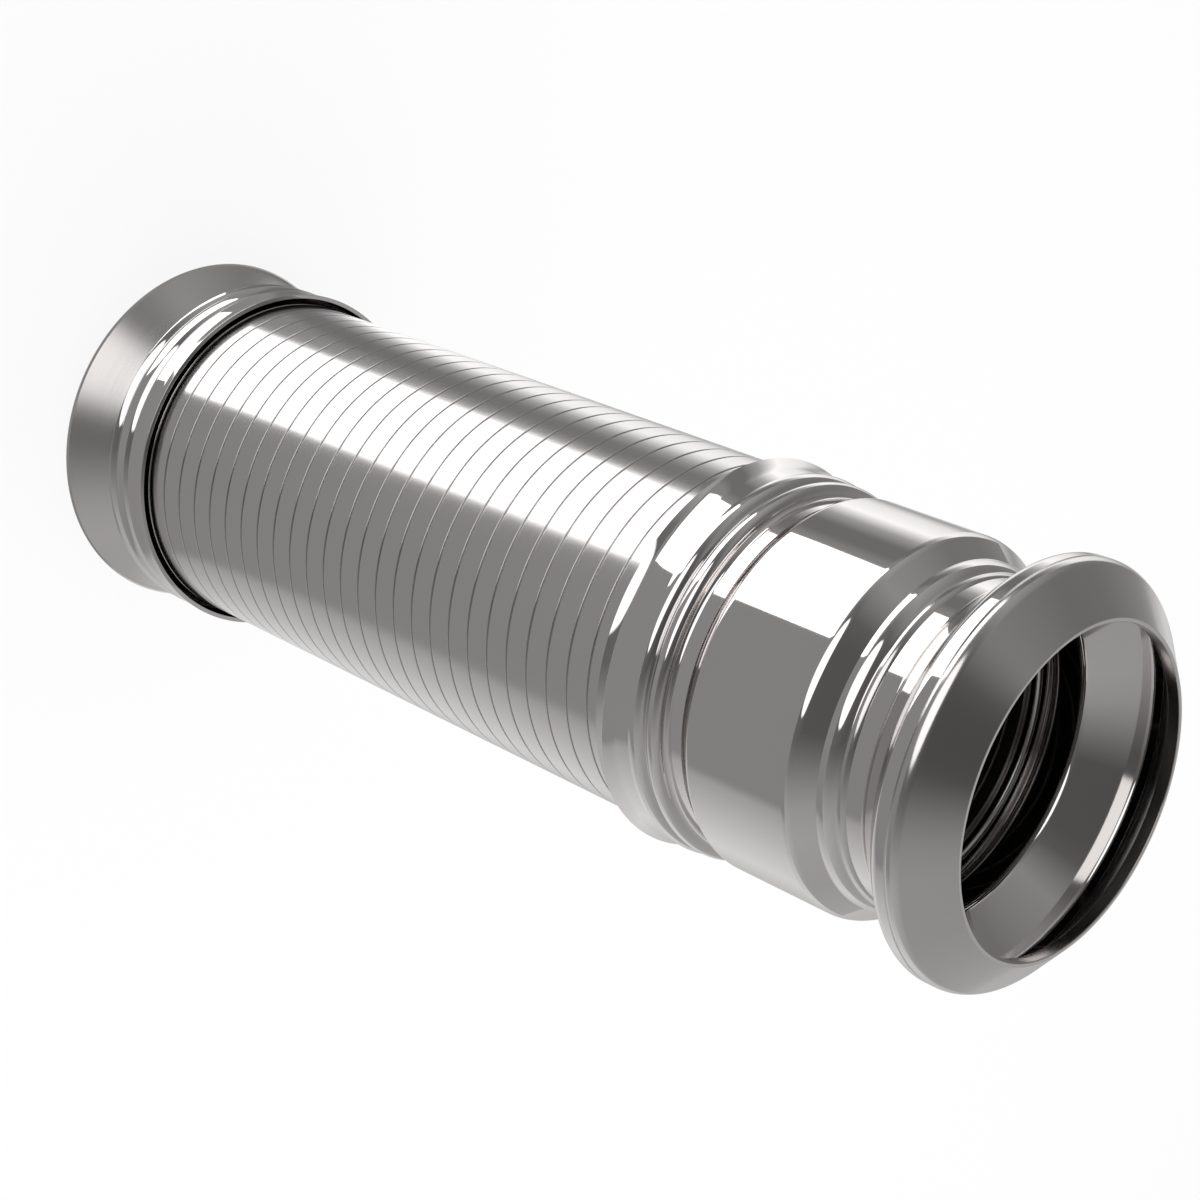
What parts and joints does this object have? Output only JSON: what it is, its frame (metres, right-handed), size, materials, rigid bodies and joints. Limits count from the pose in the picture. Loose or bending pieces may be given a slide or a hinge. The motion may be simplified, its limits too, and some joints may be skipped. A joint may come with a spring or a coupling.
{
  "type": "flexible exhaust pipe",
  "caption": "Straight flexible exhaust pipe: strip-wound steel hose over a gas-tight bellows, with pressed collars and a conical clamp flange at each end.",
  "frame": {"origin": "centre of the inlet flare's rim, which the pipe stands on", "axes": "+Z along the pipe's axis, from the inlet flare towards the outlet flange; the pipe is the same all round it"},
  "size_m": [0.1324, 0.1324, 0.4075],
  "materials": {
    "spun_steel": "satin",
    "pressed_steel": "polished",
    "strip_steel": "bright rolled strip",
    "turned_steel": "fine turned",
    "sleeve_steel": "drawn, bright",
    "inner_steel": "dull rolled strip",
    "weld_steel": "smooth weld bead",
    "wire_mesh": "pressed wire",
    "fibre_mat": "needled glass fibre"
  },
  "bodies": {
    "root": {"inlet_flare": "spun_steel", "inlet_collar": "pressed_steel", "inlet_support_ring": "inner_steel", "inlet_liner_cuff": "inner_steel", "liner_hose": "inner_steel", "bellows": "inner_steel", "heat_mat": "fibre_mat", "outer_hose": "strip_steel", "outlet_support_ring": "inner_steel", "outlet_collar": "pressed_steel", "outlet_sleeve": "sleeve_steel", "outlet_weld_ring": "inner_steel", "outlet_can": "pressed_steel", "outlet_mat": "fibre_mat", "outlet_mesh_ring": "wire_mesh", "outlet_reducer": "pressed_steel", "neck_weld": "weld_steel", "outlet_flange_back": "spun_steel", "outlet_flange_cone": "turned_steel"}
  },
  "joints": []
}
